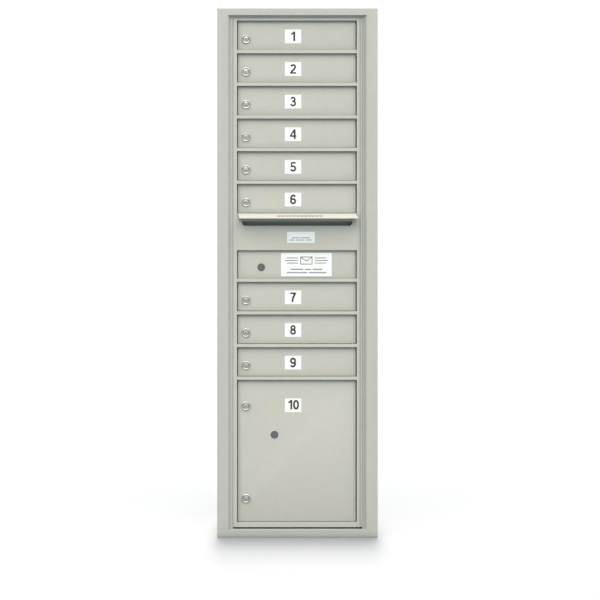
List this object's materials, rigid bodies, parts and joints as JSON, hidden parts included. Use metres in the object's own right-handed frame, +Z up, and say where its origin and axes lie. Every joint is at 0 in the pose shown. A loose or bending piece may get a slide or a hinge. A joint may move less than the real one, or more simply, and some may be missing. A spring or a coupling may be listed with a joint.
{
  "type": "cluster mailbox unit",
  "caption": "Single-column recessed cluster mailbox unit: locking mail doors, an outgoing letter slot under a hood and a tall parcel door in one hinged master door.",
  "frame": {"origin": "middle of the trim's lower edge, on the wall plane (the rear edge of the trim)", "axes": "+X to the right as seen from the front, +Y into the wall towards the cabinet's back, +Z up; the doors face -Y"},
  "size_m": [0.4366, 0.4525, 1.438],
  "materials": {
    "powder_coat": "fine-texture sandy grey powder coat",
    "mill_aluminium": "mill",
    "nickel_plate": "satin nickel",
    "stainless_steel": "drawn",
    "zinc_plated_steel": "zinc plated",
    "silver_plate": "satin",
    "black_plastic": "matte"
  },
  "bodies": {
    "cabinet": {"cabinet_left_side": "mill_aluminium", "cabinet_right_side": "mill_aluminium", "cabinet_top": "mill_aluminium", "cabinet_bottom": "mill_aluminium", "cabinet_back": "mill_aluminium", "trim_frame": "powder_coat", "compartment_shelves": "mill_aluminium", "shelf_rivets": "mill_aluminium", "master_hinge_frame_leaf": "powder_coat", "master_hinge_pin": "stainless_steel", "latch_strikes": "zinc_plated_steel"},
    "master_door": {"master_left_stile": "powder_coat", "master_right_stile": "powder_coat", "master_top_rail": "powder_coat", "master_bottom_rail": "powder_coat", "master_cross_rails": "powder_coat", "outgoing_mail_panel": "powder_coat", "outgoing_mail_hood": "powder_coat", "outgoing_slot_baffle": "powder_coat", "outgoing_info_plate": "silver_plate", "postal_lock_panel": "powder_coat", "postal_lock_studs": "stainless_steel", "postal_key_hole_plug": "black_plastic", "master_hinge_door_leaf": "powder_coat", "door_hinge_rods": "stainless_steel", "latch_bar_guides": "zinc_plated_steel"},
    "latch_bar": {"latch_bar": "zinc_plated_steel"},
    "door_1": {"door_1_leaf": "powder_coat", "door_1_lock_housing": "nickel_plate"},
    "door_1_plug": {"door_1_lock_plug": "nickel_plate"},
    "door_2": {"door_2_leaf": "powder_coat", "door_2_lock_housing": "nickel_plate"},
    "door_2_plug": {"door_2_lock_plug": "nickel_plate"},
    "door_3": {"door_3_leaf": "powder_coat", "door_3_lock_housing": "nickel_plate"},
    "door_3_plug": {"door_3_lock_plug": "nickel_plate"},
    "door_4": {"door_4_leaf": "powder_coat", "door_4_lock_housing": "nickel_plate"},
    "door_4_plug": {"door_4_lock_plug": "nickel_plate"},
    "door_5": {"door_5_leaf": "powder_coat", "door_5_lock_housing": "nickel_plate"},
    "door_5_plug": {"door_5_lock_plug": "nickel_plate"},
    "door_6": {"door_6_leaf": "powder_coat", "door_6_lock_housing": "nickel_plate"},
    "door_6_plug": {"door_6_lock_plug": "nickel_plate"},
    "door_7": {"door_7_leaf": "powder_coat", "door_7_lock_housing": "nickel_plate"},
    "door_7_plug": {"door_7_lock_plug": "nickel_plate"},
    "door_8": {"door_8_leaf": "powder_coat", "door_8_lock_housing": "nickel_plate"},
    "door_8_plug": {"door_8_lock_plug": "nickel_plate"},
    "door_9": {"door_9_leaf": "powder_coat", "door_9_lock_housing": "nickel_plate"},
    "door_9_plug": {"door_9_lock_plug": "nickel_plate"},
    "parcel_door": {"parcel_door_leaf": "powder_coat", "parcel_lock_housings": "nickel_plate", "parcel_key_hole_plug": "black_plastic"},
    "parcel_upper_plug": {"parcel_upper_lock_plug": "nickel_plate"},
    "parcel_lower_plug": {"parcel_lower_lock_plug": "nickel_plate"}
  },
  "joints": [
    {"name": "master_door_hinge", "type": "hinge", "parent": "cabinet", "child": "master_door", "pos_m": [0.1736, -0.014, 0.71875], "axis": [0, 0, 1], "range_deg": [0, 93]},
    {"name": "latch_bar_slide", "type": "slide", "parent": "master_door", "child": "latch_bar", "axis": [0, 0, -1], "range_m": [0, 0.012]},
    {"name": "door_1_hinge", "type": "hinge", "parent": "master_door", "child": "door_1", "pos_m": [0.1505, 0.0015, 1.3656], "axis": [0, 0, 1], "range_deg": [0, 95]},
    {"name": "door_1_lock_turn", "type": "hinge", "parent": "door_1", "child": "door_1_plug", "pos_m": [-0.1403, 0, 1.3558], "axis": [0, 1, 0], "range_deg": [0, 90]},
    {"name": "door_2_hinge", "type": "hinge", "parent": "master_door", "child": "door_2", "pos_m": [0.1505, 0.0015, 1.2767], "axis": [0, 0, 1], "range_deg": [0, 95]},
    {"name": "door_2_lock_turn", "type": "hinge", "parent": "door_2", "child": "door_2_plug", "pos_m": [-0.1403, 0, 1.2669], "axis": [0, 1, 0], "range_deg": [0, 90]},
    {"name": "door_3_hinge", "type": "hinge", "parent": "master_door", "child": "door_3", "pos_m": [0.1505, 0.0015, 1.1878], "axis": [0, 0, 1], "range_deg": [0, 95]},
    {"name": "door_3_lock_turn", "type": "hinge", "parent": "door_3", "child": "door_3_plug", "pos_m": [-0.1403, 0, 1.178], "axis": [0, 1, 0], "range_deg": [0, 90]},
    {"name": "door_4_hinge", "type": "hinge", "parent": "master_door", "child": "door_4", "pos_m": [0.1505, 0.0015, 1.0989], "axis": [0, 0, 1], "range_deg": [0, 95]},
    {"name": "door_4_lock_turn", "type": "hinge", "parent": "door_4", "child": "door_4_plug", "pos_m": [-0.1403, 0, 1.0891], "axis": [0, 1, 0], "range_deg": [0, 90]},
    {"name": "door_5_hinge", "type": "hinge", "parent": "master_door", "child": "door_5", "pos_m": [0.1505, 0.0015, 1.01], "axis": [0, 0, 1], "range_deg": [0, 95]},
    {"name": "door_5_lock_turn", "type": "hinge", "parent": "door_5", "child": "door_5_plug", "pos_m": [-0.1403, 0, 1.0002], "axis": [0, 1, 0], "range_deg": [0, 90]},
    {"name": "door_6_hinge", "type": "hinge", "parent": "master_door", "child": "door_6", "pos_m": [0.1505, 0.0015, 0.9211], "axis": [0, 0, 1], "range_deg": [0, 95]},
    {"name": "door_6_lock_turn", "type": "hinge", "parent": "door_6", "child": "door_6_plug", "pos_m": [-0.1403, 0, 0.9113], "axis": [0, 1, 0], "range_deg": [0, 90]},
    {"name": "door_7_hinge", "type": "hinge", "parent": "master_door", "child": "door_7", "pos_m": [0.1505, 0.0015, 0.6544], "axis": [0, 0, 1], "range_deg": [0, 95]},
    {"name": "door_7_lock_turn", "type": "hinge", "parent": "door_7", "child": "door_7_plug", "pos_m": [-0.1403, 0, 0.6446], "axis": [0, 1, 0], "range_deg": [0, 90]},
    {"name": "door_8_hinge", "type": "hinge", "parent": "master_door", "child": "door_8", "pos_m": [0.1505, 0.0015, 0.5655], "axis": [0, 0, 1], "range_deg": [0, 95]},
    {"name": "door_8_lock_turn", "type": "hinge", "parent": "door_8", "child": "door_8_plug", "pos_m": [-0.1403, 0, 0.5557], "axis": [0, 1, 0], "range_deg": [0, 90]},
    {"name": "door_9_hinge", "type": "hinge", "parent": "master_door", "child": "door_9", "pos_m": [0.1505, 0.0015, 0.4766], "axis": [0, 0, 1], "range_deg": [0, 95]},
    {"name": "door_9_lock_turn", "type": "hinge", "parent": "door_9", "child": "door_9_plug", "pos_m": [-0.1403, 0, 0.4668], "axis": [0, 1, 0], "range_deg": [0, 90]},
    {"name": "parcel_door_hinge", "type": "hinge", "parent": "master_door", "child": "parcel_door", "pos_m": [0.1505, 0.0015, 0.2342], "axis": [0, 0, 1], "range_deg": [0, 95]},
    {"name": "parcel_upper_lock_turn", "type": "hinge", "parent": "parcel_door", "child": "parcel_upper_plug", "pos_m": [-0.1403, 0, 0.3563], "axis": [0, 1, 0], "range_deg": [0, 90]},
    {"name": "parcel_lower_lock_turn", "type": "hinge", "parent": "parcel_door", "child": "parcel_lower_plug", "pos_m": [-0.1403, 0, 0.1042], "axis": [0, 1, 0], "range_deg": [0, 90]}
  ]
}
